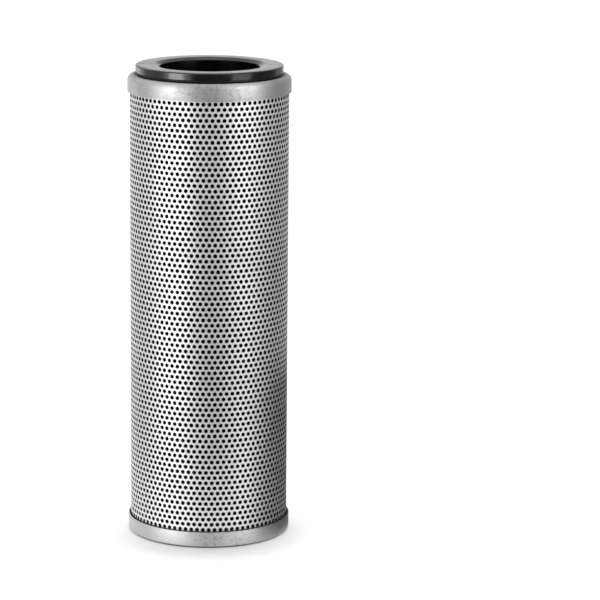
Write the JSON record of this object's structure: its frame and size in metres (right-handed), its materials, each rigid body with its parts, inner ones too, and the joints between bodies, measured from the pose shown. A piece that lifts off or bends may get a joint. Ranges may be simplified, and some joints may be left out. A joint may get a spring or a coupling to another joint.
{
  "type": "hydraulic filter element",
  "caption": "Cylindrical hydraulic filter element: perforated steel guard and stamped end caps round a pleated pack, with a moulded ring and a bore at its open end.",
  "frame": {"origin": "centre of the bottom cap's standing face", "axes": "+Z along the element's axis, up through the open end; X and Y across it"},
  "size_m": [0.15, 0.15, 0.437],
  "materials": {
    "guard_steel": "bright tinned perforated sheet",
    "cap_steel": "bright tinned stamped sheet, satin",
    "black_rubber": "smooth moulded, slight sheen",
    "black_steel": "glossy black paint",
    "adhesive": "set adhesive, dark grey",
    "mesh_black": "black coated wire mesh",
    "media": "glass fibre fleece",
    "clip_steel": "plain folded strip"
  },
  "bodies": {
    "root": {"outer_guard": "guard_steel", "top_cap": "cap_steel", "bottom_cap": "cap_steel", "seal_ring": "black_rubber", "core_tube": "black_steel", "top_potting": "adhesive", "bottom_potting": "adhesive", "outer_support_mesh": "mesh_black", "filter_media": "media", "inner_support_mesh": "mesh_black", "pleat_seam_clip": "clip_steel"}
  },
  "joints": []
}
